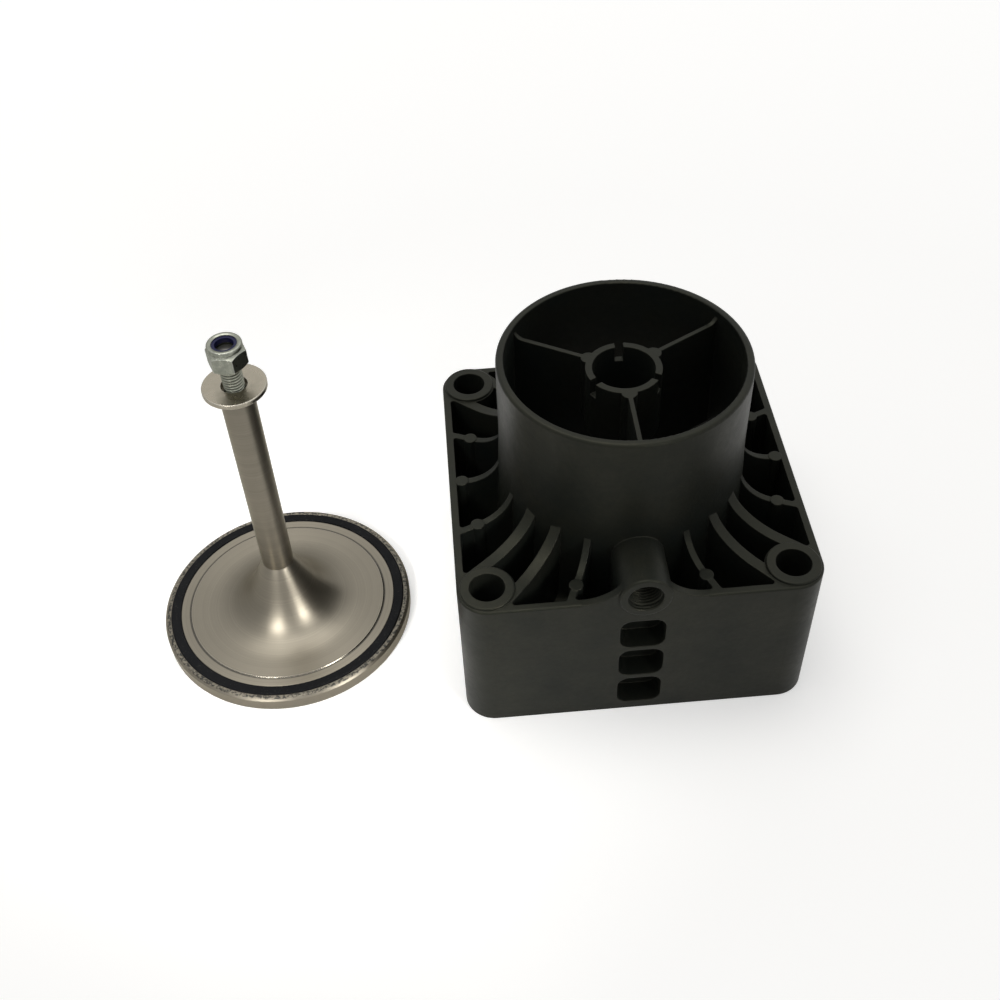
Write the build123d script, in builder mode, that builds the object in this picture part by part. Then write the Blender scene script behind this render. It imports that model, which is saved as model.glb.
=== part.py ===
from build123d import *
import os
from math import asin, cos, degrees, radians, sin, sqrt

# Unloader valve: a moulded housing that stands on its base, and beside it the poppet
# valve that works in it, standing on its own disc. Millimetres, +Z up. The origin is the
# middle of the housing's base, on the axis of the inlet tube. The port faces -Y.

os.makedirs("parts", exist_ok=True)

# Housing body
body_width = 138.0
body_height = 68.0
body_corner_radius = 12.0
body_wall = 3.0
floor_thickness = 3.0
body_edge_rounding = 0.8

# Bolt bosses in the four corners
bolt_spacing = 115.0
bolt_hole_diameter = 13.5
boss_diameter = 21.6
boss_ring_diameter = 20.8
boss_ring_height = 1.2
boss_ring_rounding = 0.5

# Inlet tube: a straight spigot for the hose above, drafted wider towards its root
tube_diameter = 96.0
tube_wall = 3.0
tube_top = 127.0
spigot_bottom = 92.0
tube_root_growth = 2.4
tube_root_wall = 4.2
tube_lip_rounding = 1.3
tube_bore_rounding = 0.5
tube_root_rounding = 4.0
spigot_blend = 200.0

# Valve chamber under the tube, and the lip that the valve seals on
chamber_bore = 114.0
chamber_wall = 3.0
chamber_roof = 3.5
chamber_rounding = 3.0
seat_height = 34.0
seat_lip_depth = 3.0
seat_lip_width = 3.2
seat_lip_rounding = 1.0

# Ribs between the tube and the walls
rib_thickness = 2.6
rib_sweep = 14.0
rib_spread = 22.5
sweep_bite = 0.5
pad_diameter = 5.4
pad_circle_inset = 2.2
pad_depth = 30.0
pad_height = 0.25

# Rounded corners where ribs and webs meet the wall
pocket_rounding = 1.2

# Webs that join each corner boss to the tube, in pairs
web_thickness = 4.4
web_tube_offset = 6.0
web_sweep_height = 15.0
web_boss_overhang = 0.7
web_past_boss = 3.0

# Control port and the block that carries it
port_height = 70.5
port_boss_diameter = 20.0
port_face_height = 1.2
port_face_rounding = 0.9
port_thread_diameter = 13.157
port_thread_depth = 15.0
port_countersink = 0.4
port_passage_diameter = 8.5
port_saddle_radius = 18.0

# Cored recesses in the front wall
recess_count = 3
recess_width = 17.4
recess_height = 15.9
recess_pitch = 18.0
recess_first_height = 12.2
recess_corner_radius = 4.6
recess_back_wall = 3.0

# Three-spoke hub that guides the stem
hub_top = 121.5
hub_diameter = 29.0
hub_cup_bore = 23.8
hub_cup_depth = 23.0
hub_guide_diameter = 20.0
hub_bottom = 62.0
hub_shoulder_height = 94.0
hub_shoulder_slope = 4.5
spoke_count = 3
spoke_thickness = 1.7
spoke_bottom = 70.0
spoke_sweep = 4.2
hub_post_diameter = 6.0
hub_post_offset = 14.3
hub_post_length = 27.0
notch_width = 3.3
notch_depth = 6.8

# Poppet valve, standing beside the housing
valve_x = -143.5
valve_y = -3.0
disc_diameter = 106.0
disc_thickness = 6.5
disc_edge_chamfer = 1.1
disc_foot_chamfer = 0.5
disc_step_diameter = 84.0
disc_step = 0.3
flare_diameter = 68.0
flare_height = 33.5
flare_neck_diameter = 12.4
flare_neck_slope = 31.0
stem_diameter = 13.0
stem_top = 128.4
stem_chamfer = 0.5
guide_clearance = 0.3

# Seal ring in the face of the disc
groove_diameter = 92.0
groove_width = 4.4
groove_depth = 3.6
seal_proud = 0.45
seal_rounding = 0.6
seal_clearance = 0.05

# Stud, washer and lock nut
stud_diameter = 8.0
stud_depth = 16.0
stud_chamfer = 0.8
thread_clearance = 0.05
washer_diameter = 24.0
washer_bore = 9.6
washer_thickness = 2.0
washer_chamfer = 0.25
nut_gap = 9.8
nut_across_flats = 13.0
nut_turn = 3.0
nut_hex_height = 6.9
nut_chamfer_angle = 30.0
nut_height = 9.5
nut_collar_diameter = 12.2
nut_lip_diameter = 9.2
nut_lip_thickness = 0.7
nut_lip_rounding = 0.6
nylon_diameter = 10.6
nylon_bore = 7.0
nylon_thickness = 2.0
stud_end_gap = 0.6

# Values worked out from the sizes above
body_half = body_width / 2
wall_inside = body_half - body_wall
tube_radius = tube_diameter / 2
tube_root_radius = tube_radius + tube_root_growth
chamber_radius = chamber_bore / 2
roof_bottom = seat_height + seat_lip_depth
roof_top = roof_bottom + chamber_roof
boss_reach = bolt_spacing / sqrt(2)
guide_bore = stem_diameter + guide_clearance
tube_middle = tube_radius - tube_wall / 2
chamber_middle = chamber_radius + chamber_wall / 2
roof_middle = (roof_bottom + roof_top) / 2
floor_middle = floor_thickness / 2
face_tolerance = 0.01


def tube_surface(height):
    """Outer radius of the tube at a height."""
    share = max(0, spigot_bottom - height) / (spigot_bottom - roof_top)
    return tube_radius + tube_root_growth * share


def make_side_rib(turn):
    """One rib along +X for a wall met at this turn: flat, then swept up the tube."""
    reach = (wall_inside + body_wall / 2) / cos(radians(turn))
    sweep_start = tube_surface(body_height + rib_sweep) - sweep_bite
    with BuildPart() as rib:
        with BuildSketch(Plane.XZ):
            with BuildLine():
                sweep = CenterArc(
                    (sweep_start + rib_sweep, body_height + rib_sweep),
                    rib_sweep,
                    start_angle=180,
                    arc_size=90,
                )
                Polyline(
                    sweep @ 0,
                    (tube_middle, body_height + rib_sweep),
                    (tube_middle, roof_middle),
                    (chamber_middle, roof_middle),
                    (chamber_middle, floor_middle),
                    (reach, floor_middle),
                    (reach, body_height),
                    sweep @ 1,
                )
            make_face()
        extrude(amount=rib_thickness / 2, both=True)
        with BuildSketch(Plane.XY.offset(body_height - pad_depth)):
            with Locations((wall_inside - pad_circle_inset, 0)):
                Circle(pad_diameter / 2)
        extrude(amount=pad_depth + pad_height)
    return rib.part


def meets_wall(point):
    """Whether a point lies on the inside of the wall, away from the middle of a side."""
    near, far = sorted((abs(point.X), abs(point.Y)))
    return abs(far - wall_inside) < face_tolerance and near > pad_diameter


straight_rib = make_side_rib(0)
slanted_rib = make_side_rib(rib_spread)

# Pair of corner webs beside the diagonal, here +X: each leaves the tube at one offset and
# runs past the side of the boss into the wall, with a longer sweep than the side ribs
web_boss_offset = (boss_diameter - web_thickness) / 2 + web_boss_overhang
web_foot = boss_reach - boss_diameter / 2
web_reach = boss_reach + web_past_boss
web_sweep_top = body_height + web_sweep_height
web_side = web_tube_offset + web_thickness / 2
web_sweep_end = sqrt(tube_surface(web_sweep_top) ** 2 - web_side**2) - sweep_bite
web_sweep_length = web_foot - web_sweep_end
with BuildPart() as corner_webs:
    with BuildSketch(Plane.XY):
        Polygon(
            (tube_middle, web_tube_offset - web_thickness / 2),
            (web_reach, web_boss_offset - web_thickness / 2),
            (web_reach, web_boss_offset + web_thickness / 2),
            (tube_middle, web_side),
            align=None,
        )
        mirror(about=Plane.XZ)
    extrude(amount=web_sweep_top)
    with BuildSketch(Plane.XZ):
        with BuildLine():
            web_sweep = EllipticalCenterArc(
                (web_foot, web_sweep_top),
                web_sweep_length,
                web_sweep_height,
                start_angle=180,
                arc_size=90,
            )
            Polyline(
                web_sweep @ 0,
                (tube_middle, web_sweep_top),
                (tube_middle, roof_middle),
                (chamber_middle, roof_middle),
                (chamber_middle, floor_middle),
                (web_reach, floor_middle),
                (web_reach, body_height),
                web_sweep @ 1,
            )
        make_face()
    extrude(amount=boss_diameter, both=True, mode=Mode.INTERSECT)

# Hub with its spring cup, guide bore, spokes, posts and notches
spoke_face = tube_radius - tube_wall + sweep_bite
spoke_root = (hub_guide_diameter + guide_bore) / 4
shoulder_bottom = hub_shoulder_height - hub_shoulder_slope
with BuildPart() as spoke:
    with BuildSketch(Plane.XZ):
        with BuildLine():
            rise = CenterArc(
                (spoke_face - spoke_sweep, hub_top + spoke_sweep),
                spoke_sweep,
                start_angle=270,
                arc_size=90,
            )
            Polyline(
                rise @ 0,
                (hub_cup_bore / 2, hub_top),
                (spoke_root, shoulder_bottom),
                (spoke_root, spoke_bottom),
                (tube_middle, spoke_bottom),
                (tube_middle, hub_top + spoke_sweep),
                rise @ 1,
            )
        make_face()
    extrude(amount=spoke_thickness / 2, both=True)

with BuildPart() as hub:
    with BuildSketch(Plane.XZ):
        with BuildLine():
            Polyline(
                (0, hub_bottom),
                (hub_guide_diameter / 2, hub_bottom),
                (hub_guide_diameter / 2, shoulder_bottom),
                (hub_diameter / 2, hub_shoulder_height),
                (hub_diameter / 2, hub_top),
                (0, hub_top),
                close=True,
            )
        make_face()
    revolve(axis=Axis.Z)
    with PolarLocations(0, spoke_count, start_angle=-90):
        add(spoke.part)
    with BuildSketch(Plane.XY.offset(hub_top - hub_post_length)):
        with PolarLocations(hub_post_offset, spoke_count, start_angle=-90):
            Circle(hub_post_diameter / 2)
    extrude(amount=hub_post_length)
    with BuildSketch(Plane.XY.offset(hub_top)):
        Circle(hub_cup_bore / 2)
    extrude(amount=-hub_cup_depth, mode=Mode.SUBTRACT)
    with BuildSketch(Plane.XY.offset(hub_top)):
        Circle(guide_bore / 2)
    extrude(amount=hub_bottom - hub_top, mode=Mode.SUBTRACT)
    with BuildSketch(Plane.XY.offset(hub_top)):
        with PolarLocations((hub_diameter + hub_cup_bore) / 4, spoke_count, start_angle=90):
            Rectangle(hub_diameter - hub_cup_bore, notch_width)
    extrude(amount=-notch_depth, mode=Mode.SUBTRACT)

# Tube and chamber: one turned section, with the seat lip standing down from the roof, and
# the hub set in the tube
lip_inside = tube_root_radius - tube_root_wall
lip_outside = lip_inside + seat_lip_width
with BuildPart() as bell:
    with BuildSketch(Plane.XZ):
        with BuildLine():
            FilletPolyline(
                (chamber_radius, 0),
                (chamber_radius + chamber_wall, 0),
                (chamber_radius + chamber_wall, roof_top),
                (tube_root_radius, roof_top),
                (tube_radius, spigot_bottom),
                (tube_radius, tube_top),
                (tube_radius - tube_wall, tube_top),
                (lip_inside, seat_height),
                (lip_outside, seat_height),
                (lip_outside, roof_bottom),
                (chamber_radius, roof_bottom),
                radius=[
                    0,
                    0,
                    chamber_rounding,
                    tube_root_rounding,
                    spigot_blend,
                    tube_lip_rounding,
                    tube_bore_rounding,
                    seat_lip_rounding,
                    seat_lip_rounding,
                    0,
                    seat_lip_rounding,
                ],
                close=True,
            )
        make_face()
    revolve(axis=Axis.Z)
    add(hub.part)

# Half of the saddle where the top of the front wall sweeps up to the port boss
port_radius = port_boss_diameter / 2
port_front = -body_half - port_face_height
saddle_centre_height = body_height + port_saddle_radius
saddle_rise = saddle_centre_height - port_height
saddle_centre_offset = sqrt((port_radius + port_saddle_radius) ** 2 - saddle_rise**2)
saddle_angle = degrees(asin(saddle_rise / (port_radius + port_saddle_radius)))

# Housing: one moulding
with BuildPart() as housing:
    # Square outer wall on its floor
    with BuildSketch(Plane.XY):
        RectangleRounded(body_width, body_width, body_corner_radius)
    extrude(amount=body_height)
    fillet(housing.faces().sort_by(Axis.Z)[-1].edges(), body_edge_rounding)
    with BuildSketch(Plane.XY.offset(floor_thickness)):
        RectangleRounded(2 * wall_inside, 2 * wall_inside, body_corner_radius - body_wall)
    extrude(amount=body_height, mode=Mode.SUBTRACT)
    with BuildSketch(Plane.XY):
        Circle(chamber_middle)
    extrude(amount=floor_thickness, mode=Mode.SUBTRACT)

    # Three ribs to each wall, apart from the front one, where the port takes the middle
    for side in (0, 90, 180, 270):
        add(slanted_rib, rotation=(0, 0, side - rib_spread))
        add(slanted_rib, rotation=(0, 0, side + rib_spread))
        if side != 270:
            add(straight_rib, rotation=(0, 0, side))
    with PolarLocations(0, 4, start_angle=45):
        add(corner_webs.part)

    # Corner bosses with their raised rings
    with BuildSketch(Plane.XY):
        with GridLocations(bolt_spacing, bolt_spacing, 2, 2):
            Circle(boss_diameter / 2)
    extrude(amount=body_height)
    with BuildSketch(Plane.XY.offset(body_height)):
        with GridLocations(bolt_spacing, bolt_spacing, 2, 2):
            Circle(boss_ring_diameter / 2)
    extrude(amount=boss_ring_height)
    ring_top = body_height + boss_ring_height
    ring_edges = housing.edges().filter_by_position(Axis.Z, ring_top, ring_top)
    fillet(ring_edges, boss_ring_rounding)

    # Rounded corners of the pockets, where slanted ribs and webs meet the wall
    pocket_corners = [
        edge
        for edge in housing.edges().filter_by(Axis.Z)
        if meets_wall(edge.center())
    ]
    fillet(pocket_corners, pocket_rounding)

    # Port boss on the block that stands between the tube and the front wall
    with BuildSketch(Plane.XZ.offset(tube_middle)):
        with Locations((0, port_height)):
            Circle(port_radius)
        with Locations((0, (port_height + roof_middle) / 2)):
            Rectangle(port_boss_diameter, port_height - roof_middle)
    extrude(amount=body_half - tube_middle)
    with BuildSketch(Plane.XZ.offset(chamber_middle)):
        with Locations((0, roof_middle / 2)):
            Rectangle(port_boss_diameter, roof_middle)
    extrude(amount=body_half - chamber_middle)
    with BuildSketch(Plane.XZ.offset(body_half)):
        with Locations((0, port_height)):
            Circle(port_radius)
    extrude(amount=port_face_height)
    port_rim = housing.edges().filter_by_position(Axis.Y, port_front, port_front)
    fillet(port_rim, port_face_rounding)
    with BuildSketch(Plane.XZ.offset(wall_inside)):
        with BuildLine():
            saddle = CenterArc(
                (saddle_centre_offset, saddle_centre_height),
                port_saddle_radius,
                start_angle=180 + saddle_angle,
                arc_size=90 - saddle_angle,
            )
            Polyline(
                saddle @ 0,
                (0, port_height),
                (0, roof_top),
                (saddle_centre_offset, roof_top),
                saddle @ 1,
            )
        make_face()
        mirror(about=Plane.YZ)
    extrude(amount=body_wall)

    # Tube and chamber
    add(bell.part)

    # Bolt holes
    with BuildSketch(Plane.XY):
        with GridLocations(bolt_spacing, bolt_spacing, 2, 2):
            Circle(bolt_hole_diameter / 2)
    extrude(amount=body_height + boss_ring_height, mode=Mode.SUBTRACT)

    # Port: thread core with its countersink, and the passage into the tube
    port_face = Plane.XZ.offset(body_half + port_face_height)
    with BuildSketch(port_face):
        with Locations((0, port_height)):
            Circle(port_passage_diameter / 2)
    extrude(amount=tube_radius - tube_wall - body_half - port_face_height, mode=Mode.SUBTRACT)
    with BuildSketch(port_face):
        with Locations((0, port_height)):
            Circle(port_thread_diameter / 2)
    extrude(amount=-port_thread_depth, mode=Mode.SUBTRACT)
    with BuildSketch(port_face):
        with Locations((0, port_height)):
            Circle(port_thread_diameter / 2 + port_countersink)
    extrude(amount=-port_countersink, taper=45, mode=Mode.SUBTRACT)

    # Cored recesses one above another under the port
    recess_depth = body_half - chamber_radius - recess_back_wall
    with BuildSketch(Plane.XZ.offset(body_half)):
        for row in range(recess_count):
            with Locations((0, recess_first_height + row * recess_pitch)):
                RectangleRounded(recess_width, recess_height, recess_corner_radius)
    extrude(amount=-recess_depth, mode=Mode.SUBTRACT)

# Planes and axis of the valve, through the middle of its disc
valve_section = Plane(origin=(valve_x, valve_y, 0), x_dir=(1, 0, 0), z_dir=(0, -1, 0))
valve_floor = Plane(origin=(valve_x, valve_y, 0))
valve_axis = Axis((valve_x, valve_y, 0), (0, 0, 1))
disc_radius = disc_diameter / 2
groove_inside = groove_diameter / 2
groove_outside = groove_inside + groove_width
groove_bottom = disc_thickness - groove_depth
face_height = disc_thickness + disc_step
stem_radius = stem_diameter / 2
stud_bore = stud_diameter / 2 + thread_clearance
stud_bottom = stem_top - stud_depth

# Valve: disc, flare and stem turned in one
with BuildPart() as valve:
    with BuildSketch(valve_section):
        with BuildLine():
            rim = Polyline(
                (0, 0),
                (disc_radius - disc_foot_chamfer, 0),
                (disc_radius, disc_foot_chamfer),
                (disc_radius, disc_thickness - disc_edge_chamfer),
                (disc_radius - disc_edge_chamfer, disc_thickness),
                (groove_outside, disc_thickness),
                (groove_outside, groove_bottom),
                (groove_inside, groove_bottom),
                (groove_inside, disc_thickness),
                (disc_step_diameter / 2, disc_thickness),
                (disc_step_diameter / 2, face_height),
                (flare_diameter / 2, face_height),
            )
            neck_turn = radians(flare_neck_slope)
            flare = Spline(
                rim @ 1,
                (flare_neck_diameter / 2, flare_height),
                tangents=[(-1, 0), (-sin(neck_turn), cos(neck_turn))],
            )
            Polyline(
                flare @ 1,
                (stem_radius, flare_height),
                (stem_radius, stem_top - stem_chamfer),
                (stem_radius - stem_chamfer, stem_top),
                (stud_bore, stem_top),
                (stud_bore, stud_bottom),
                (0, stud_bottom),
                rim @ 0,
            )
        make_face()
    revolve(axis=valve_axis)

# Seal ring, seated in its groove and standing a little proud of the disc
with BuildPart() as seal_ring:
    with BuildSketch(valve_section):
        with BuildLine():
            bead = FilletPolyline(
                (groove_inside + seal_clearance, groove_bottom),
                (groove_inside + seal_clearance, disc_thickness + seal_proud),
                (groove_outside - seal_clearance, disc_thickness + seal_proud),
                (groove_outside - seal_clearance, groove_bottom),
                radius=seal_rounding,
            )
            Line(bead @ 1, bead @ 0)
        make_face()
    revolve(axis=valve_axis)

# Stud, screwed to the bottom of its hole in the stem
nut_bottom = stem_top + washer_thickness + nut_gap
nylon_bottom = nut_bottom + nut_height - nut_lip_thickness - nylon_thickness
stud_top = nylon_bottom - stud_end_gap
with BuildPart() as stem_stud:
    with BuildSketch(valve_floor.offset(stud_bottom)):
        Circle(stud_diameter / 2)
    extrude(amount=stud_top - stud_bottom)
    chamfer(stem_stud.edges().filter_by(GeomType.CIRCLE), stud_chamfer)

# Wide washer, resting on the end of the stem
with BuildPart() as washer:
    with BuildSketch(valve_floor.offset(stem_top)):
        Circle(washer_diameter / 2)
        Circle(washer_bore / 2, mode=Mode.SUBTRACT)
    extrude(amount=washer_thickness)
    chamfer(washer.edges().filter_by(GeomType.CIRCLE), washer_chamfer)

# Lock nut: a chamfered hexagon with a round collar that holds the nylon ring
nut_corner = nut_across_flats / 2 / cos(radians(30))
nut_bevel = (nut_corner - nut_across_flats / 2) * sin(radians(nut_chamfer_angle))
nylon_top = nylon_bottom + nylon_thickness
nut_top = nut_bottom + nut_height
hex_top = nut_bottom + nut_hex_height
with BuildPart() as lock_nut:
    with BuildSketch(valve_floor.offset(nut_bottom)):
        RegularPolygon(nut_corner, 6, rotation=nut_turn)
    extrude(amount=nut_height)
    with BuildSketch(valve_section):
        with BuildLine():
            nut_outline = FilletPolyline(
                (stud_bore, nut_bottom),
                (nut_across_flats / 2, nut_bottom),
                (nut_corner, nut_bottom + nut_bevel),
                (nut_corner, hex_top - nut_bevel),
                (nut_collar_diameter / 2, hex_top),
                (nut_collar_diameter / 2, nut_top),
                (nut_lip_diameter / 2, nut_top),
                (nut_lip_diameter / 2, nylon_top),
                (nylon_diameter / 2, nylon_top),
                (nylon_diameter / 2, nylon_bottom),
                (stud_bore, nylon_bottom),
                radius=[0, 0, 0, 0, nut_lip_rounding, 0, 0, 0, 0],
            )
            Line(nut_outline @ 1, nut_outline @ 0)
        make_face()
    revolve(axis=valve_axis, mode=Mode.INTERSECT)

# Nylon ring that grips the thread
with BuildPart() as nylon_ring:
    with BuildSketch(valve_floor.offset(nylon_bottom)):
        Circle(nylon_diameter / 2)
        Circle(nylon_bore / 2, mode=Mode.SUBTRACT)
    extrude(amount=nylon_thickness)

housing.part.label = "housing"
export_step(housing.part, "parts/housing.step")
valve.part.label = "valve"
export_step(valve.part, "parts/valve.step")
seal_ring.part.label = "seal_ring"
export_step(seal_ring.part, "parts/seal_ring.step")
stem_stud.part.label = "stem_stud"
export_step(stem_stud.part, "parts/stem_stud.step")
washer.part.label = "washer"
export_step(washer.part, "parts/washer.step")
lock_nut.part.label = "lock_nut"
export_step(lock_nut.part, "parts/lock_nut.step")
nylon_ring.part.label = "nylon_ring"
export_step(nylon_ring.part, "parts/nylon_ring.step")
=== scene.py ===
# %% [markdown]
# # An unloader valve, photographed in a small studio
#
# The object is a black moulded housing with the poppet valve that works in it, standing
# beside it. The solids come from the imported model, already in their places, in metres, with
# +Z up. This script gives every piece its finish, cuts the screw threads that the solids
# leave plain, rolls the collar of the lock nut, and sets up floor, lamps and camera. It
# never moves a solid.

import math

import bmesh
import bpy
from mathutils import Matrix, Vector


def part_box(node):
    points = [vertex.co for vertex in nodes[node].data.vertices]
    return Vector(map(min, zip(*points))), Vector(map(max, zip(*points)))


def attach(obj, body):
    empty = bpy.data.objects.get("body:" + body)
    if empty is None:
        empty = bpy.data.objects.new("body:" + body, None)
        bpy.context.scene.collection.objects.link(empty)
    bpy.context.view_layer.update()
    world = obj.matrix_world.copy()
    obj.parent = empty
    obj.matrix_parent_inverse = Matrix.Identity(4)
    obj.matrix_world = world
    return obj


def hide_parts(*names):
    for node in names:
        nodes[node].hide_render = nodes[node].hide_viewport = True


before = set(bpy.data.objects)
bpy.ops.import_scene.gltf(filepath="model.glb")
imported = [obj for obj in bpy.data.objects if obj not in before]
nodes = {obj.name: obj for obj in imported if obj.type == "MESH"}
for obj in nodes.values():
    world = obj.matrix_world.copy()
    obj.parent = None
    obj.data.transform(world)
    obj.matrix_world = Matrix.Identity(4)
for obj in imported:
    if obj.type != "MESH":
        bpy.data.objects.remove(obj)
print("nodes:", sorted(nodes))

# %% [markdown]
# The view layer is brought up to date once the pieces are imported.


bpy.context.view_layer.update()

# %% [markdown]
# ## Camera
#
# The camera stands where the photographer stood. Four bolt holes, the rim of the tube and
# the disc of the valve fix the place, because each has a known size and is seen as an
# ellipse whose shape depends on the viewing angle. A camera could be aimed with a Track To
# constraint, but that can't roll it. So three turns describe the direction: yaw about the
# vertical, the dip below the horizon, and a slight roll of the camera in the hand.

# %% Place the camera
CAMERA_PLACE = Vector((-0.06245, -0.35202, 0.42504))
CAMERA_YAW = math.radians(-2.22)
CAMERA_DIP = math.radians(46.4)
CAMERA_ROLL = math.radians(-2.94)
CAMERA_LENS_MM = 44.71
CAMERA_SENSOR_MM = 36.0


def camera_turn(yaw, dip, roll):
    """Rotation of a camera that looks along +Y when all three turns are nought."""
    level = Vector((math.cos(yaw), math.sin(yaw), 0))
    flat = math.cos(dip)
    ahead = Vector((-math.sin(yaw) * flat, math.cos(yaw) * flat, -math.sin(dip)))
    upright = level.cross(ahead)
    right = math.cos(roll) * level + math.sin(roll) * upright
    up = math.cos(roll) * upright - math.sin(roll) * level
    return Matrix((right, up, -ahead)).transposed()


camera_data = bpy.data.cameras.new("photo_camera")
camera_data.lens = CAMERA_LENS_MM
camera_data.sensor_width = CAMERA_SENSOR_MM
camera = bpy.data.objects.new("photo_camera", camera_data)
bpy.context.scene.collection.objects.link(camera)
turn = camera_turn(CAMERA_YAW, CAMERA_DIP, CAMERA_ROLL)
camera.matrix_world = Matrix.Translation(CAMERA_PLACE) @ turn.to_4x4()
bpy.context.scene.camera = camera
print("camera looks along", tuple(round(x, 3) for x in -turn.col[2]))

# %% [markdown]
# ## Building materials out of nodes
#
# Every finish below is a small graph of nodes. Making a node, setting its options and
# wiring its inputs takes several lines each time, so one helper does all three. An input is
# wired when it is given another node's output, and otherwise set to the value.

# %% Node helpers
def add_node(tree, kind, inputs=None, **options):
    """A new shader node with its options set and its inputs wired or filled in."""
    made = tree.nodes.new("ShaderNode" + kind)
    for name, value in options.items():
        setattr(made, name, value)
    for name, value in (inputs or {}).items():
        fill(tree, made.inputs[name], value)
    return made


def fill(tree, socket, value):
    """Wires a socket to another node's output, or gives it a constant."""
    if isinstance(value, bpy.types.NodeSocket):
        tree.links.new(value, socket)
    else:
        socket.default_value = value


def new_finish(name):
    """A node material, with its tree and its main shader."""
    material = bpy.data.materials.new(name)
    material.use_nodes = True
    tree = material.node_tree
    return material, tree, tree.nodes["Principled BSDF"]


def object_place(tree):
    """Where on the object a point lies, in metres. It moves with the piece."""
    return add_node(tree, "TexCoord").outputs["Object"]


# %% [markdown]
# Patterns come from the Noise node, whose scale is the number of blobs to a metre, since the
# object's coordinates are metres. Most of them lie between 0.3 and 0.7, so `spread` cuts a
# part out of that range and stretches it to the values that are wanted.

# %% Pattern helpers
def noise(tree, place, per_metre, detail=2.0, roughness=0.5):
    """A cloudy pattern from 0 to 1, with that many blobs to a metre."""
    made = add_node(
        tree,
        "TexNoise",
        {"Vector": place, "Scale": per_metre, "Detail": detail, "Roughness": roughness},
    )
    return made.outputs["Fac"]


def spread(tree, value, low, high, to_low, to_high):
    """Stretches the part of a pattern from low to high over to_low to to_high."""
    made = add_node(
        tree,
        "MapRange",
        {"Value": value, "From Min": low, "From Max": high, "To Min": to_low, "To Max": to_high},
    )
    return made.outputs["Result"]


def calculate(tree, operation, first, second=0.0):
    """One sum on two values."""
    made = add_node(tree, "Math", {0: first, 1: second}, operation=operation)
    return made.outputs["Value"]


def blend_colours(tree, share, first, second):
    """The first colour where share is 0, the second where it is 1."""
    made = add_node(tree, "Mix", {0: share}, data_type="RGBA")
    fill(tree, made.inputs[6], first)
    fill(tree, made.inputs[7], second)
    return made.outputs[2]


def bump(tree, height, depth, strength, under=None):
    """A normal that makes a height pattern look that many metres deep."""
    made = add_node(tree, "Bump", {"Height": height, "Distance": depth, "Strength": strength})
    if under is not None:
        tree.links.new(under, made.inputs["Normal"])
    return made.outputs["Normal"]


# %% [markdown]
# ## Black moulded plastic
#
# The housing is glass-filled plastic. It is nearly black, and its skin is a little mottled
# where the glass fibres lie close under it. A fine grain scatters the light, so the shine
# is broad and soft. The edges are slightly rounded by the mould, and paler where they rub
# against other parts in the box. A Bevel modifier could round them, but among so many ribs
# it would clash with itself. The Bevel node gives the same look without any new faces, and
# the difference between its normal and the true one tells where the edges are.

# %% Rounded and rubbed edges
BEVEL_SAMPLES = 6
ALIKE_ON_EDGE = 0.9


def rounded_normal(tree, radius):
    """The normal of a surface whose edges are rounded by a radius in metres."""
    return add_node(tree, "Bevel", {"Radius": radius}, samples=BEVEL_SAMPLES).outputs["Normal"]


def edge_share(tree, rounded):
    """1 where the rounded normal leans away from the true one, 0 on plain surfaces."""
    true_normal = add_node(tree, "NewGeometry").outputs["Normal"]
    alike = add_node(tree, "VectorMath", {0: rounded, 1: true_normal}, operation="DOT_PRODUCT")
    return spread(tree, alike.outputs["Value"], 1.0, ALIKE_ON_EDGE, 0.0, 1.0)


# %% Plastic: mottled colour
PLASTIC_DARK = (0.0044, 0.0062, 0.0062, 1)
PLASTIC_PALE = (0.0125, 0.0132, 0.0100, 1)
CLOUDS_PER_METRE = 45
FIBRES_PER_METRE = 420
FIBRE_FLOOR = 0.5

black_plastic, tree, shader = new_finish("black_plastic_moulded")
place = object_place(tree)
clouds = noise(tree, place, CLOUDS_PER_METRE, detail=4)
fibres = noise(tree, place, FIBRES_PER_METRE, detail=3, roughness=0.65)
mottling = calculate(tree, "MULTIPLY", clouds, calculate(tree, "ADD", fibres, FIBRE_FLOOR))
paleness = spread(tree, mottling, 0.25, 0.75, 0, 1)
skin = blend_colours(tree, paleness, PLASTIC_DARK, PLASTIC_PALE)
print("plastic goes from", PLASTIC_DARK[:3], "to", PLASTIC_PALE[:3])

# %% Plastic: rubbed edges
PLASTIC_RUBBED = (0.035, 0.035, 0.030, 1)
PLASTIC_ROUNDING = 0.0006
SCUFFS_PER_METRE = 260
SCUFF_SHARE = 0.55

rounded = rounded_normal(tree, PLASTIC_ROUNDING)
scuffs = spread(tree, noise(tree, place, SCUFFS_PER_METRE, detail=3), 0.42, 0.62, 0, SCUFF_SHARE)
rubbed = calculate(tree, "MULTIPLY", edge_share(tree, rounded), scuffs)
fill(tree, shader.inputs["Base Color"], blend_colours(tree, rubbed, skin, PLASTIC_RUBBED))
print("edges rounded by", PLASTIC_ROUNDING * 1000, "mm")

# %% Plastic: shine and grain
PLASTIC_DULL = 0.50
PLASTIC_SHINY = 0.36
PLASTIC_SPECULAR = 0.22
PLASTIC_SHINE_TINT = (1.0, 0.98, 0.74, 1)
GRAIN_PER_METRE = 2600
GRAIN_DEPTH = 0.00006
RIPPLES_PER_METRE = 160
RIPPLE_DEPTH = 0.0012

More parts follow.
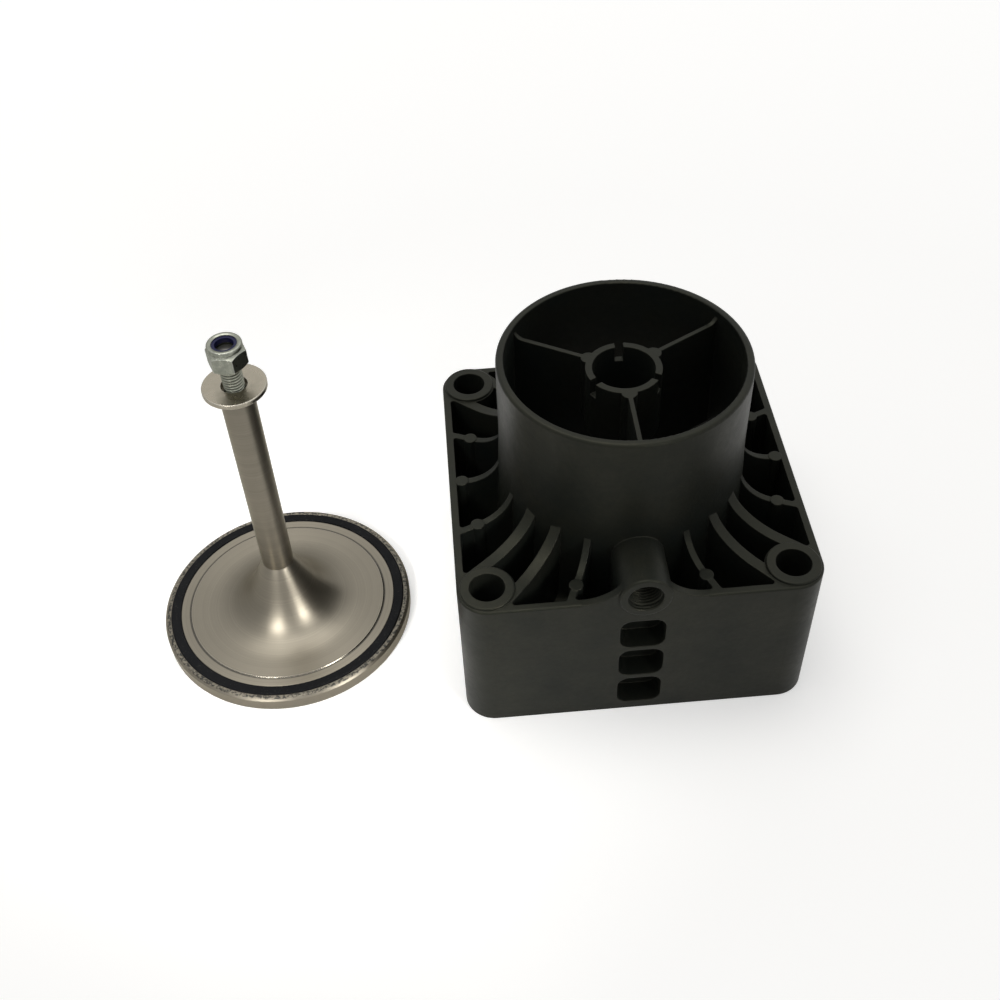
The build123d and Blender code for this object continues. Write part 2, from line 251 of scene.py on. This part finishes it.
fill(tree, shader.inputs["Roughness"], spread(tree, mottling, 0.2, 0.8, PLASTIC_DULL, PLASTIC_SHINY))
ripples = noise(tree, place, RIPPLES_PER_METRE)
grain = noise(tree, place, GRAIN_PER_METRE)
rippled = bump(tree, ripples, RIPPLE_DEPTH, 0.10, rounded)
fill(tree, shader.inputs["Normal"], bump(tree, grain, GRAIN_DEPTH, 0.35, rippled))
shader.inputs["Specular IOR Level"].default_value = PLASTIC_SPECULAR
shader.inputs["Specular Tint"].default_value = PLASTIC_SHINE_TINT
print("plastic nodes:", len(tree.nodes))

# %% [markdown]
# ## Turned aluminium
#
# The valve was turned on a lathe, and the tool left fine rings round its axis. A picture of
# rings would need an unwrapped surface. Here a pattern that depends on one distance does it:
# on the flat disc the rings lie one outside another, on the stem one above another, so the
# distance from the axis plus the height follows both.

# %% Aluminium: distance from the valve's axis
VALVE_AXIS = (-0.1435, -0.003, 0.0)


def radius_and_height(tree):
    """Distance from the valve's axis, and height above the floor, in metres."""
    place = object_place(tree)
    away = add_node(tree, "VectorMath", {0: place, 1: VALVE_AXIS}, operation="SUBTRACT")
    parts = add_node(tree, "SeparateXYZ", {"Vector": away.outputs["Vector"]})
    flat = add_node(tree, "CombineXYZ", {"X": parts.outputs["X"], "Y": parts.outputs["Y"]})
    length = add_node(tree, "VectorMath", {0: flat.outputs["Vector"]}, operation="LENGTH")
    return length.outputs["Value"], parts.outputs["Z"]


def ring_pattern(tree, distance, rings_per_metre, detail=3.0):
    """Uneven rings, from 0 to 1, that depend only on one distance."""
    made = add_node(
        tree,
        "TexNoise",
        {"W": distance, "Scale": rings_per_metre, "Detail": detail, "Roughness": 0.7},
        noise_dimensions="1D",
    )
    return made.outputs["Fac"]


def line_at(tree, distance, middle, width):
    """1 on a thin line where the distance is near the middle value, 0 away from it."""
    away = calculate(tree, "ABSOLUTE", calculate(tree, "SUBTRACT", distance, middle))
    return spread(tree, away, width * 0.4, width * 0.9, 1, 0)


# %% Aluminium: tone of the rings
ALUMINIUM_DARK = (0.185, 0.168, 0.135, 1)
ALUMINIUM_PALE = (0.235, 0.214, 0.172, 1)
RINGS_PER_METRE = 2400
BANDS_PER_METRE = 260
STAINS_PER_METRE = 70
RING_SHARE = 0.45
BAND_SHARE = 0.35
STAIN_SHARE = 0.2

turned_aluminium, tree, shader = new_finish("turned_aluminium")
radius, height = radius_and_height(tree)
along = calculate(tree, "ADD", radius, height)
rings = ring_pattern(tree, along, RINGS_PER_METRE)
bands = ring_pattern(tree, along, BANDS_PER_METRE, detail=2)
stains = noise(tree, object_place(tree), STAINS_PER_METRE, detail=4)
ring_tone = calculate(tree, "MULTIPLY", rings, RING_SHARE)
band_tone = calculate(tree, "MULTIPLY", bands, BAND_SHARE)
stain_tone = calculate(tree, "MULTIPLY", stains, STAIN_SHARE)
tone = calculate(tree, "ADD", calculate(tree, "ADD", ring_tone, band_tone), stain_tone)
metal = blend_colours(tree, spread(tree, tone, 0.3, 0.7, 0, 1), ALUMINIUM_DARK, ALUMINIUM_PALE)
print("a ring every", round(1000 / RINGS_PER_METRE, 2), "mm")

# %% [markdown]
# The land outside the seal was left rough and is speckled. The solids carry the small step
# round the face. It shows as a bright edge with a dark line in its corner, so two thin
# lines of colour follow it, a painted highlight along the edge and painted shade in the
# corner, and a bump softens its slope.

# %% Aluminium: speckled land and the step
SEAL_OUTSIDE = 0.0504
LAND_START = 0.0002
LAND_HEIGHT = 0.0060
LAND_RISE = 0.0003
LAND_SPECKLE_AND_STEP_SHADE = (0.035, 0.036, 0.034, 1)
SPECKLES_PER_METRE = 900
STEP_RADIUS = 0.042
STEP_EDGE = 0.0004
LINE_OFFSET = STEP_EDGE * 0.6
ALUMINIUM_PAINTED_HIGHLIGHT = (0.62, 0.58, 0.50, 1)
STEP_SHADE_SHARE = 0.7
STEP_HIGHLIGHT_SHARE = 0.3

outside_seal = spread(tree, radius, SEAL_OUTSIDE, SEAL_OUTSIDE + LAND_START, 0, 1)
on_top = spread(tree, height, LAND_HEIGHT, LAND_HEIGHT + LAND_RISE, 0, 1)
on_land = calculate(tree, "MULTIPLY", outside_seal, on_top)
specks = noise(tree, object_place(tree), SPECKLES_PER_METRE, detail=3)
speckled = calculate(tree, "MULTIPLY", on_land, spread(tree, specks, 0.42, 0.56, 0.95, 0.0))
metal = blend_colours(tree, speckled, metal, LAND_SPECKLE_AND_STEP_SHADE)
# Painted shade: a dark line in the step's corner. Painted highlight: a pale line along its edge.
from_step = calculate(tree, "SUBTRACT", radius, STEP_RADIUS)
step_shade_line = line_at(tree, from_step, LINE_OFFSET, STEP_EDGE)
step_highlight_line = line_at(tree, from_step, -LINE_OFFSET, STEP_EDGE)
metal = blend_colours(tree, calculate(tree, "MULTIPLY", step_shade_line, STEP_SHADE_SHARE), metal, LAND_SPECKLE_AND_STEP_SHADE)
metal = blend_colours(tree, calculate(tree, "MULTIPLY", step_highlight_line, STEP_HIGHLIGHT_SHARE), metal, ALUMINIUM_PAINTED_HIGHLIGHT)
fill(tree, shader.inputs["Base Color"], metal)
print("step at", STEP_RADIUS * 1000, "mm from the axis")

# %% [markdown]
# Turned metal spreads a reflection across its rings, so a lamp makes a bright wedge on the
# disc and a streak on the flare. Anisotropy does that: its tangent runs round the axis, and
# a quarter turn puts the spread across the rings. Seen edge-on, bare metal doesn't turn
# white, so the tint for grazing light is a little darker than white.

# %% Aluminium: shine and turning marks
ALUMINIUM_DULL = 0.42
ALUMINIUM_SHINY = 0.35
LAND_DULLER = 0.1
EDGE_SHINIER = 0.2
ALUMINIUM_STRETCH = 0.55
QUARTER_TURN = 0.25
ALUMINIUM_GRAZING = (0.85, 0.82, 0.74, 1)
ALUMINIUM_ROUNDING = 0.0004
TURNING_DEPTH = 0.00001

shine = spread(tree, tone, 0.3, 0.7, ALUMINIUM_DULL, ALUMINIUM_SHINY)
shine = calculate(tree, "ADD", shine, calculate(tree, "MULTIPLY", on_land, LAND_DULLER))
shine = calculate(tree, "SUBTRACT", shine, calculate(tree, "MULTIPLY", step_highlight_line, EDGE_SHINIER))
fill(tree, shader.inputs["Roughness"], shine)
shader.inputs["Metallic"].default_value = 1.0
shader.inputs["Anisotropic"].default_value = ALUMINIUM_STRETCH
shader.inputs["Anisotropic Rotation"].default_value = QUARTER_TURN
shader.inputs["Specular Tint"].default_value = ALUMINIUM_GRAZING
round_axis = add_node(tree, "Tangent", direction_type="RADIAL", axis="Z").outputs["Tangent"]
fill(tree, shader.inputs["Tangent"], round_axis)
step_slope = spread(tree, from_step, -STEP_EDGE, 0.0, 1, 0)
stepped = bump(tree, step_slope, STEP_EDGE, 1.0, rounded_normal(tree, ALUMINIUM_ROUNDING))
fill(tree, shader.inputs["Normal"], bump(tree, rings, TURNING_DEPTH, 0.25, stepped))
print("aluminium nodes:", len(tree.nodes))

# %% [markdown]
# ## Rubber seal
#
# Black rubber with a dull skin. The same colour as the housing would make it look moulded
# on, so it differs by a bluish black and by the dust that clings to it. The dust is a sparse
# pattern of small pale specks, cut from the top of a noise.

# %% Rubber
RUBBER_BLACK = (0.0035, 0.0038, 0.0045, 1)
RUBBER_DUST = (0.035, 0.035, 0.03, 1)
DUST_PER_METRE = 1500
DUST_SHARE = 0.7
RUBBER_SHINY = 0.5
RUBBER_DULL = 0.66
RUBBER_GRAIN_DEPTH = 0.00005
RUBBER_SPECULAR = 0.1

black_rubber, tree, shader = new_finish("black_rubber_seal")
place = object_place(tree)
dust = spread(tree, noise(tree, place, DUST_PER_METRE), 0.64, 0.72, 0, DUST_SHARE)
fill(tree, shader.inputs["Base Color"], blend_colours(tree, dust, RUBBER_BLACK, RUBBER_DUST))
dulling = spread(tree, noise(tree, place, 120), 0.3, 0.7, RUBBER_SHINY, RUBBER_DULL)
fill(tree, shader.inputs["Roughness"], dulling)
fill(tree, shader.inputs["Normal"], bump(tree, noise(tree, place, 1800), RUBBER_GRAIN_DEPTH, 0.4))
shader.inputs["Specular IOR Level"].default_value = RUBBER_SPECULAR
print("rubber nodes:", len(tree.nodes))

# %% [markdown]
# ## Steel and zinc
#
# The washer is plain steel with fine scratches from tumbling. The nut and the stud are zinc
# plated: slightly greenish, with a little cloudiness in the plating. Three separate
# materials could be built by hand, but only colours, roughness and the size of the clouds
# differ, so all three come from one function.

# %% Polished and plated metal
METAL_ROUNDING = 0.0003
METAL_WORN = (0.8, 0.8, 0.77, 1)
METAL_GRAZING = (0.6, 0.6, 0.56, 1)
WORN_SHARE = 0.5
SCRATCHES_PER_METRE = 5200


def metal_finish(name, dark, pale, roughness, clouds_per_metre, scratch_depth):
    """A metal with clouds in its colour, fine scratches and worn edges."""
    material, tree, shader = new_finish(name)
    place = object_place(tree)
    clouds = noise(tree, place, clouds_per_metre, detail=4)
    scratches = noise(tree, place, SCRATCHES_PER_METRE)
    rounded = rounded_normal(tree, METAL_ROUNDING)
    worn = calculate(tree, "MULTIPLY", edge_share(tree, rounded), WORN_SHARE)
    colour = blend_colours(tree, spread(tree, clouds, 0.35, 0.65, 0, 1), dark, pale)
    fill(tree, shader.inputs["Base Color"], blend_colours(tree, worn, colour, METAL_WORN))
    shine = spread(tree, clouds, 0.3, 0.7, roughness + 0.06, roughness - 0.05)
    fill(tree, shader.inputs["Roughness"], shine)
    fill(tree, shader.inputs["Normal"], bump(tree, scratches, scratch_depth, 0.25, rounded))
    shader.inputs["Metallic"].default_value = 1.0
    shader.inputs["Specular Tint"].default_value = METAL_GRAZING
    return material


# %% The three metals
plain_steel = metal_finish(
    "polished_steel",
    dark=(0.34, 0.31, 0.25, 1),
    pale=(0.39, 0.355, 0.285, 1),
    roughness=0.28,
    clouds_per_metre=300,
    scratch_depth=0.00002,
)
zinc_plate = metal_finish(
    "zinc_plate",
    dark=(0.24, 0.25, 0.21, 1),
    pale=(0.33, 0.34, 0.285, 1),
    roughness=0.3,
    clouds_per_metre=700,
    scratch_depth=0.00003,
)
zinc_thread = metal_finish(
    "zinc_plate_thread",
    dark=(0.25, 0.26, 0.21, 1),
    pale=(0.35, 0.36, 0.3, 1),
    roughness=0.32,
    clouds_per_metre=700,
    scratch_depth=0.00003,
)
print("metals:", plain_steel.name, zinc_plate.name, zinc_thread.name)

# %% [markdown]
# The bottom of a thread is painted darker, as dirt and painted shade, and the cut end of the
# stud is rougher than the plating. Both depend only on the place, so they are added to the
# stud's own copy of the zinc finish: what was wired into the shader is taken out and blended anew.

# %% Stud: dark thread bottoms and a cut end
STUD_DIRT_AND_SHADE = (0.02, 0.02, 0.015, 1)
STUD_DIRT_AND_SHADE_SHARE = 0.9
GROOVE_DARKEST = 0.0034
GROOVE_CLEAN = 0.0039
STUD_CUT = (0.26, 0.255, 0.235, 1)
STUD_END = 0.1462
CUT_ROUGHNESS = 0.45

tree = zinc_thread.node_tree
shader = tree.nodes["Principled BSDF"]
radius, height = radius_and_height(tree)
plated = shader.inputs["Base Color"].links[0].from_socket
plated_roughness = shader.inputs["Roughness"].links[0].from_socket
at_end = spread(tree, height, STUD_END - 0.0004, STUD_END - 0.0001, 0, 1)
below_end = calculate(tree, "SUBTRACT", 1.0, at_end)
# Dirt and painted shade: the thread bottoms are darkened.
in_groove = spread(tree, radius, GROOVE_DARKEST, GROOVE_CLEAN, STUD_DIRT_AND_SHADE_SHARE, 0)
in_groove = calculate(tree, "MULTIPLY", in_groove, below_end)
colour = blend_colours(tree, in_groove, plated, STUD_DIRT_AND_SHADE)
fill(tree, shader.inputs["Base Color"], blend_colours(tree, at_end, colour, STUD_CUT))
cut = calculate(tree, "MULTIPLY", at_end, CUT_ROUGHNESS)
fill(tree, shader.inputs["Roughness"], calculate(tree, "MAXIMUM", plated_roughness, cut))
print("stud finish nodes:", len(tree.nodes))

# %% [markdown]
# ## Nylon
#
# The ring in the nut's collar is dark blue nylon, smooth and slightly waxy. Real nylon lets
# a little light in, and subsurface scattering could show that, but at this size and in a
# colour this deep the eye can't tell, so a low specular level and a soft grain do.

# %% Nylon
NYLON_BLUE = (0.003, 0.0035, 0.03, 1)
NYLON_PALE = (0.008, 0.009, 0.065, 1)
NYLON_SHINY = 0.28
NYLON_DULL = 0.4
NYLON_GRAIN_DEPTH = 0.00003
NYLON_SPECULAR = 0.25

blue_nylon, tree, shader = new_finish("blue_nylon")
place = object_place(tree)
blue = blend_colours(tree, noise(tree, place, 900), NYLON_BLUE, NYLON_PALE)
fill(tree, shader.inputs["Base Color"], blue)
waxy = spread(tree, noise(tree, place, 1400), 0.3, 0.7, NYLON_SHINY, NYLON_DULL)
fill(tree, shader.inputs["Roughness"], waxy)
fill(tree, shader.inputs["Normal"], bump(tree, noise(tree, place, 2500), NYLON_GRAIN_DEPTH, 0.3))
shader.inputs["Specular IOR Level"].default_value = NYLON_SPECULAR
print("nylon nodes:", len(tree.nodes))

# %% [markdown]
# ## Screw threads
#
# The solids carry plain cylinders where the real pieces have threads. The Screw modifier
# could sweep a profile up a helix, but it leaves raw ends, and the ridge can't fade out. So
# the mesh is a sheet of rows and columns: columns go round the axis, rows climb, and the
# sheet is sheared by one pitch for each turn. Every row then follows the helix exactly, and
# no crest is stepped. Rows that would start below the foot or end above the top are pressed
# flat there, and welding takes the crushed faces away.

# %% Thread maker
THREAD_COLUMNS = 64
THREAD_PROFILE = (0.0, 0.08, 0.5, 0.92, 1.0, 0.92, 0.5, 0.08)
PROFILE_STEPS = len(THREAD_PROFILE)


def thread_sheet(root, crest, pitch, length, fade):
    """Points of a threaded cylinder along +Z, row by row. The ridges fade towards both ends:
    they rise from the plain radius at one slope, over a length named fade."""
    rows = int(length / pitch + 2) * PROFILE_STEPS
    points = []
    for row in range(rows + 1):
        for column in range(THREAD_COLUMNS):
            share = column / THREAD_COLUMNS
            height = ((row / PROFILE_STEPS) - 1 + share) * pitch
            height = min(max(height, 0), length)
            risen = min(min(height, length - height) / fade, 1)
            rise = min(THREAD_PROFILE[row % PROFILE_STEPS], risen)
            radius = root + (crest - root) * rise
            angle = 2 * math.pi * share
            points.append((radius * math.cos(angle), radius * math.sin(angle), height))
    return points, rows


def sheet_faces(rows):
    """Faces between the rows. The seam joins each row to the one a turn higher."""
    faces = []
    for row in range(rows):
        for column in range(THREAD_COLUMNS):
            ahead = column + 1
            lift = 0
            if ahead == THREAD_COLUMNS:
                ahead = 0
                lift = PROFILE_STEPS
            if row + 1 + lift > rows:
                continue
            faces.append(
                (
                    row * THREAD_COLUMNS + column,
                    (row + lift) * THREAD_COLUMNS + ahead,
                    (row + 1 + lift) * THREAD_COLUMNS + ahead,
                    (row + 1) * THREAD_COLUMNS + column,
                )
            )
    return faces


print("a ridge is drawn in", PROFILE_STEPS, "steps,", THREAD_COLUMNS, "to a turn")

# %% Piece maker
WELD_DISTANCE = 0.0000001


def weld(mesh):
    """Joins the points that lie on each other, so that no face is left without an area."""
    shape = bmesh.new()
    shape.from_mesh(mesh)
    bmesh.ops.remove_doubles(shape, verts=shape.verts, dist=WELD_DISTANCE)
    shape.to_mesh(mesh)
    shape.free()


def smooth_piece(name, points, faces, material, matrix):
    """A shown piece from points and faces, smooth shaded, with its finish."""
    mesh = bpy.data.meshes.new(name)
    mesh.from_pydata(points, [], faces)
    mesh.transform(matrix)
    weld(mesh)
    mesh.polygons.foreach_set("use_smooth", [True] * len(mesh.polygons))
    mesh.materials.append(material)
    piece = bpy.data.objects.new(name, mesh)
    bpy.context.scene.collection.objects.link(piece)
    print(name, "has", len(mesh.polygons), "faces")
    return piece


def foot_of(low, high):
    """The move that takes a piece made at the origin to the middle of a box's underside."""
    return Matrix.Translation(((low.x + high.x) / 2, (low.y + high.y) / 2, low.z))


# %% [markdown]
# The M8 stud shows between washer and nut, and again at the bottom of the nut's collar. Its
# thread sheet gets a flat disc on each end, and the piece then stands for the plain stud.

# %% Stud thread
STUD_PITCH = 0.00125
STUD_ROOT = 0.00336
STUD_FADE = 0.0008

low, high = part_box("stem_stud")
stud_crest = (high.x - low.x) / 2
stud_length = high.z - low.z
points, rows = thread_sheet(STUD_ROOT, stud_crest, STUD_PITCH, stud_length, STUD_FADE)
foot_ring = list(range(THREAD_COLUMNS))
top_ring = [rows * THREAD_COLUMNS + column for column in foot_ring]
faces = sheet_faces(rows) + [foot_ring[::-1], top_ring]
stud_thread = smooth_piece("stud_thread", points, faces, zinc_thread, foot_of(low, high))
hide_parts("stem_stud")
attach(stud_thread, "valve")

# %% [markdown]
# ## Lock nut
#
# The nut is a hexagon that a cone cuts at both ends, with a rolled collar on top. A Boolean
# modifier could cut the cones, but it leaves long thin triangles along the arcs. Here every
# column of points goes once round the nut's wall: out along the bottom, up the outside, in
# over the collar and down the bore. Only two of its points lie on the hexagon. Their radius
# grows from the middle of a flat to a corner, and the cone's slope then gives their height,
# so the arc where cone and flat meet comes out exactly. The nut has its flats where the
# photograph shows them.

# %% Lock nut: sizes
NUT_COLUMNS = 96
NUT_TURN = math.radians(-8)
NUT_SIXTH = math.radians(60)
NUT_CONE = math.tan(math.radians(30))
NUT_FLAT = 0.0065
NUT_FACE = 0.0062
NUT_SHOULDER = 0.0070
NUT_THREAD = 0.00405
NUT_MOUTH = 0.0046
NUT_CHAMFER = 0.0006
COLLAR_RADIUS = 0.00645
RING_RADIUS = 0.0053
LIP_DEPTH = 0.0007
SEAT_DEPTH = 0.0027

low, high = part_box("lock_nut")
nut_height = high.z - low.z
print("lock nut", round(nut_height * 1000, 2), "mm high")

# %% [markdown]
# The neck and the roll of the collar are lists of radius and height. The neck is measured up
# from the shoulder of the hexagon. The roll is measured down from the top of the nut, over
# the lip, into the seat of the nylon ring and down to the thread.

# %% Lock nut: neck and roll of the collar
COLLAR_NECK = [
    (0.0060, 0.0002),
    (0.0060, 0.0004),
    (0.0063, 0.0006),
    (COLLAR_RADIUS, 0.0009),
]
COLLAR_ROLL = [
    (COLLAR_RADIUS, 0.0008),
    (0.00636, 0.0004),
    (0.00612, 0.0001),
    (0.0058, 0.0),
    (0.0050, 0.0001),
    (0.0047, 0.00025),
    (NUT_MOUTH, 0.0005),
    (NUT_MOUTH, LIP_DEPTH),
    (RING_RADIUS, LIP_DEPTH),
    (RING_RADIUS, SEAT_DEPTH),
    (NUT_THREAD, SEAT_DEPTH),
]


def nut_wall(to_flat):
    """Radius and height of the points of one column, from the bore's foot outwards."""
    drop = (to_flat - NUT_FACE) * NUT_CONE
    hexagon = [
        (NUT_THREAD, NUT_CHAMFER),
        (NUT_MOUTH, 0.0),
        (NUT_FACE, 0.0),
        (to_flat, drop),
        (to_flat, NUT_SHOULDER - drop),
        (NUT_FACE, NUT_SHOULDER),
    ]
    neck = [(radius, NUT_SHOULDER + above) for radius, above in COLLAR_NECK]
    roll = [(radius, nut_height - below) for radius, below in COLLAR_ROLL]
    return hexagon + neck + roll


rows = len(nut_wall(NUT_FLAT))
print("points in one column:", rows)

# %% Lock nut: the piece
SHARP_ANGLE = math.radians(28)

points = []
for column in range(NUT_COLUMNS):
    angle = 2 * math.pi * column / NUT_COLUMNS
    from_middle = (angle % NUT_SIXTH) - NUT_SIXTH / 2
    turned = angle + NUT_TURN
    for radius, height in nut_wall(NUT_FLAT / math.cos(from_middle)):
        points.append((radius * math.cos(turned), radius * math.sin(turned), height))
faces = []
for column in range(NUT_COLUMNS):
    here = column * rows
    ahead = (column + 1) % NUT_COLUMNS * rows
    for row in range(rows):
        above = (row + 1) % rows
        faces.append((here + row, ahead + row, ahead + above, here + above))
shown_nut = smooth_piece("lock_nut_collared", points, faces, zinc_plate, foot_of(low, high))
shown_nut.data.set_sharp_from_angle(angle=SHARP_ANGLE)
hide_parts("lock_nut")
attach(shown_nut, "valve")

# %% [markdown]
# The port is tapped G 1/4, with nineteen turns to the inch. Its ridges stand inwards from
# the plain wall of the hole, so the crest radius is smaller than the root radius, and its
# faces are turned to look at the axis.

# %% Port thread
PORT_PITCH = 0.0254 / 19
PORT_WALL = 0.0065785
PORT_CREST = 0.0057225
PORT_SUNK = 0.00005
PORT_MOUTH = Vector((0, -0.0697, 0.0705))
PORT_THREAD_LENGTH = 0.0140
PORT_FADE = 0.0024

root = PORT_WALL + PORT_SUNK
points, rows = thread_sheet(root, PORT_CREST, PORT_PITCH, PORT_THREAD_LENGTH, PORT_FADE)
faces = [face[::-1] for face in sheet_faces(rows)]
into_wall = Matrix.Translation(PORT_MOUTH) @ Matrix.Rotation(math.radians(-90), 4, "X")
port_thread = smooth_piece("port_thread", points, faces, black_plastic, into_wall)
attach(port_thread, "housing")

# %% [markdown]
# ## Giving each piece its finish
#
# A solid keeps its mesh, and only the material in its slot is exchanged. The stud and the
# nut aren't in the list, because the two pieces made above stand for them.

# %% Assign the finishes
FINISHES = {
    "housing": black_plastic,
    "valve": turned_aluminium,
    "seal_ring": black_rubber,
    "washer": plain_steel,
    "nylon_ring": blue_nylon,
}
for node_name, finish in FINISHES.items():
    nodes[node_name].material_slots[0].material = finish
print("finishes given to", len(FINISHES), "pieces")

# %% [markdown]
# ## Floor and background
#
# The photograph has a white background. The floor is a pale sheet that keeps the object's
# shadow. Stronger lamps would whiten it, but they would bleach the object too. So it gives
# off a little light of its own, seen by the camera and in part by mirrors, which puts no
# light on dull surfaces. The glow grows with the distance, because the lamps reach less and
# less of the floor out there.

# %% Floor finish
FLOOR_COLOUR = (0.82, 0.82, 0.81, 1)
FLOOR_GLOW = 0.44
FLOOR_GLOW_FAR = 0.8
FADE_STARTS = 0.3
FADE_ENDS = 2.2
MIRROR_SHARE = 0.6
SEEN_WHITE = (1.0, 1.0, 1.0, 1)

floor_paint, tree, shader = new_finish("pale_floor")
paper = noise(tree, object_place(tree), 300, detail=3)
fill(tree, shader.inputs["Base Color"], FLOOR_COLOUR)
fill(tree, shader.inputs["Roughness"], spread(tree, paper, 0.3, 0.7, 0.85, 0.95))
fill(tree, shader.inputs["Emission Color"], SEEN_WHITE)
path = add_node(tree, "LightPath").outputs
half_mirrored = calculate(tree, "MULTIPLY", path["Is Glossy Ray"], MIRROR_SHARE)
seen = calculate(tree, "MAXIMUM", path["Is Camera Ray"], half_mirrored)
away = add_node(tree, "VectorMath", {0: object_place(tree)}, operation="LENGTH")
glow = spread(tree, away.outputs["Value"], FADE_STARTS, FADE_ENDS, FLOOR_GLOW, FLOOR_GLOW_FAR)
fill(tree, shader.inputs["Emission Strength"], calculate(tree, "MULTIPLY", seen, glow))
shader.inputs["Specular IOR Level"].default_value = 0.1
print("floor glow:", FLOOR_GLOW, "near,", FLOOR_GLOW_FAR, "far")

# %% Floor sheet
FLOOR_HALF = 4.0
FLOOR_DROP = 0.0002

corners = [(-1, -1), (1, -1), (1, 1), (-1, 1)]
points = [(x * FLOOR_HALF, y * FLOOR_HALF, -FLOOR_DROP) for x, y in corners]
floor = smooth_piece("floor", points, [(0, 1, 2, 3)], floor_paint, Matrix.Identity(4))

# %% [markdown]
# The world is white where the camera sees it, and a plain grey where it only lights the
# object. A mirror sees a studio that is bright overhead, dimmer towards the horizon, and a
# little brighter on the right than on the left. A picture of a real studio could stand round
# the object, but a gradient is enough and reads no file.

# %% World
WORLD_LIGHT = 0.3
HORIZON_SHINE = 0.55
OVERHEAD_SHINE = 1.0
OVERHEAD_FROM = 0.8
LEFT_SHARE = 0.9
RIGHT_SHARE = 1.2

world = bpy.data.worlds.new("studio_world")
world.use_nodes = True
bpy.context.scene.world = world
tree = world.node_tree
background = tree.nodes["Background"]
fill(tree, background.inputs["Color"], SEEN_WHITE)
path = add_node(tree, "LightPath").outputs
sky = add_node(tree, "TexCoord").outputs["Generated"]
direction = add_node(tree, "SeparateXYZ", {"Vector": sky}).outputs
mirrored = spread(tree, direction["Z"], 0.0, OVERHEAD_FROM, HORIZON_SHINE, OVERHEAD_SHINE)
from_side = spread(tree, direction["X"], -1.0, 1.0, LEFT_SHARE, RIGHT_SHARE)
mirrored = calculate(tree, "MULTIPLY", mirrored, from_side)
in_mirror = calculate(tree, "MULTIPLY", path["Is Glossy Ray"], mirrored)
on_dull = calculate(tree, "MULTIPLY", path["Is Diffuse Ray"], WORLD_LIGHT)
lit = calculate(tree, "ADD", in_mirror, on_dull)
fill(tree, background.inputs["Strength"], calculate(tree, "MAXIMUM", lit, path["Is Camera Ray"]))
print("world light:", WORLD_LIGHT)

# %% [markdown]
# ## Lamps
#
# Soft studio light: a broad lamp overhead does most of the work. Two small ones in front, to
# the left and to the right, make the two bright spots on the flare of the valve. Each stands
# where a mirror at that spot of the flare would show it to the camera. A spot lamp would
# make them hard and round, so both are square lamps whose narrow spread keeps most of their
# light off the housing.

# %% Lamps
HOUSING_MIDDLE = (-0.05, 0.0, 0.05)
FLARE_MIDDLE = (-0.1435, -0.01, 0.012)
LAMP_COLOUR = (1, 0.98, 0.95)
OPEN_BEAM = 180


def soft_lamp(name, place, aim, size, watts, beam=OPEN_BEAM):
    """A square lamp that points at a place, with a beam so many degrees wide."""
    data = bpy.data.lights.new(name, "AREA")
    data.shape = "SQUARE"
    data.size = size
    data.energy = watts
    data.spread = math.radians(beam)
    data.color = LAMP_COLOUR
    lamp = bpy.data.objects.new(name, data)
    lamp.location = place
    lamp.rotation_euler = (Vector(aim) - Vector(place)).to_track_quat("-Z", "Y").to_euler()
    lamp.visible_camera = False
    bpy.context.scene.collection.objects.link(lamp)
    print(name, "gives", watts, "W")


soft_lamp("overhead_lamp", (-0.22, 0.15, 1.6), HOUSING_MIDDLE, size=1.2, watts=11)
soft_lamp("left_lamp", (-0.295, -0.315, 0.322), FLARE_MIDDLE, size=0.15, watts=0.042, beam=22)
soft_lamp("right_lamp", (0.098, -0.286, 0.198), FLARE_MIDDLE, size=0.14, watts=0.038, beam=24)

# %% [markdown]
# The colours are shown as they are, with no film curve, so that a colour written above
# comes out as that colour under full light.

# %% Show colours plainly
view = bpy.context.scene.view_settings
view.view_transform = "Standard"
print("view transform:", view.view_transform)
